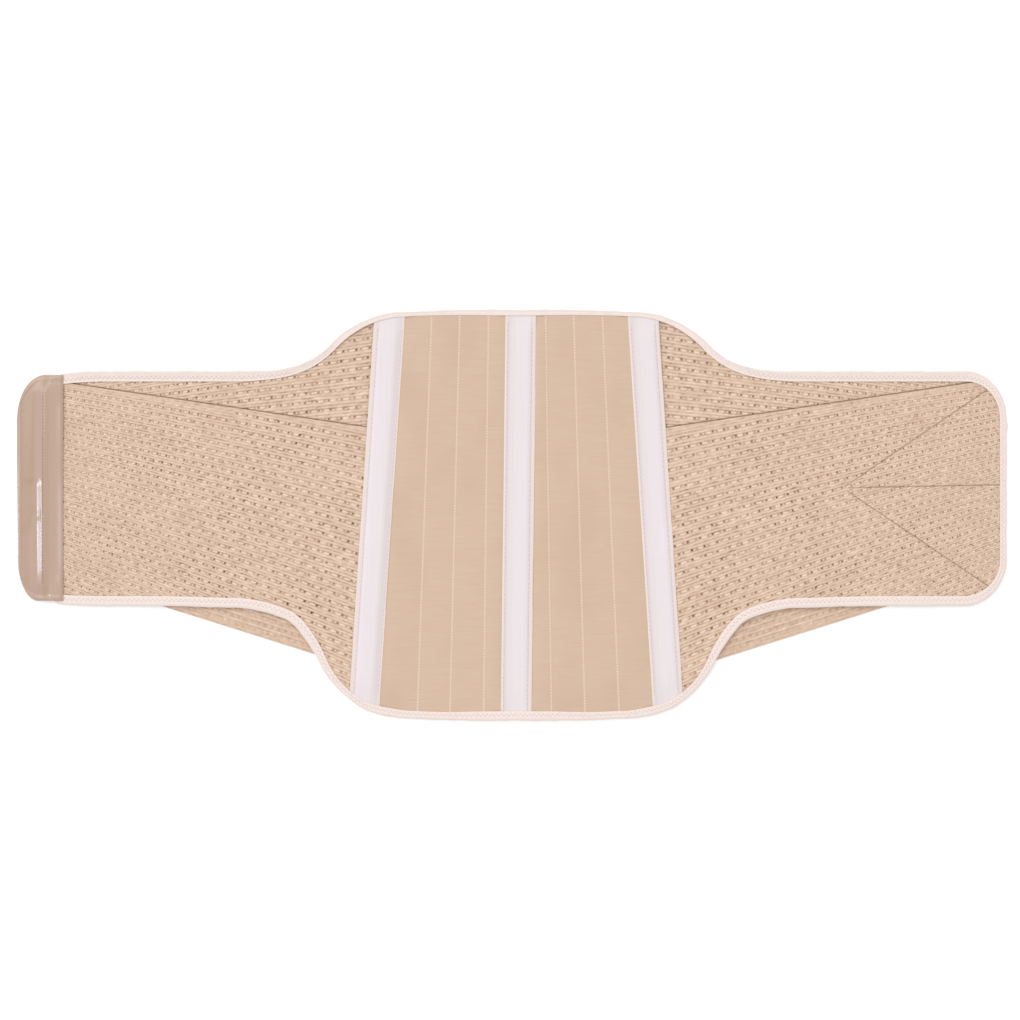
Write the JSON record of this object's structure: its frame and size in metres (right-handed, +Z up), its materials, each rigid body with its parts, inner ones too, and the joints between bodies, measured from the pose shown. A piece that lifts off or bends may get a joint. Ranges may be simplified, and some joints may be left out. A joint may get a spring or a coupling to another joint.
{
  "type": "thoracolumbar brace",
  "caption": "Elastic back brace laid open, with a stayed cloth back, perforated knit wings, slanting tension straps, a bound edge and a hook tab at one end.",
  "frame": {"origin": "centre of the footprint, on the surface that the brace lies on", "axes": "+X along the brace towards the end without the tab, +Y towards its upper edge, +Z up out of its body side"},
  "size_m": [0.96, 0.3984, 0.0093],
  "materials": {
    "back_cloth": "smooth beige woven cloth with sewn channels",
    "casing_tape": "pale pinkish-white woven tape, slightly lustrous",
    "knit_elastic": "beige knitted elastic with open courses of small holes",
    "strap_elastic": "beige knitted elastic, relaxed",
    "binding_tape": "peach-white folded tape with zigzag stitching",
    "hook_tape": "mauve-beige moulded hook strip, satin"
  },
  "bodies": {
    "root": {"back_panel_left": "back_cloth", "back_panel_right": "back_cloth", "stay_casing_left": "casing_tape", "stay_casing_centre": "casing_tape", "stay_casing_right": "casing_tape", "wing_left_lower_band": "knit_elastic", "wing_left_upper_band": "knit_elastic", "wing_right_lower_band": "knit_elastic", "wing_right_upper_band": "knit_elastic", "tension_strap_left": "strap_elastic", "tension_strap_right": "strap_elastic", "edge_binding": "binding_tape", "hook_tab": "hook_tape"}
  },
  "joints": []
}
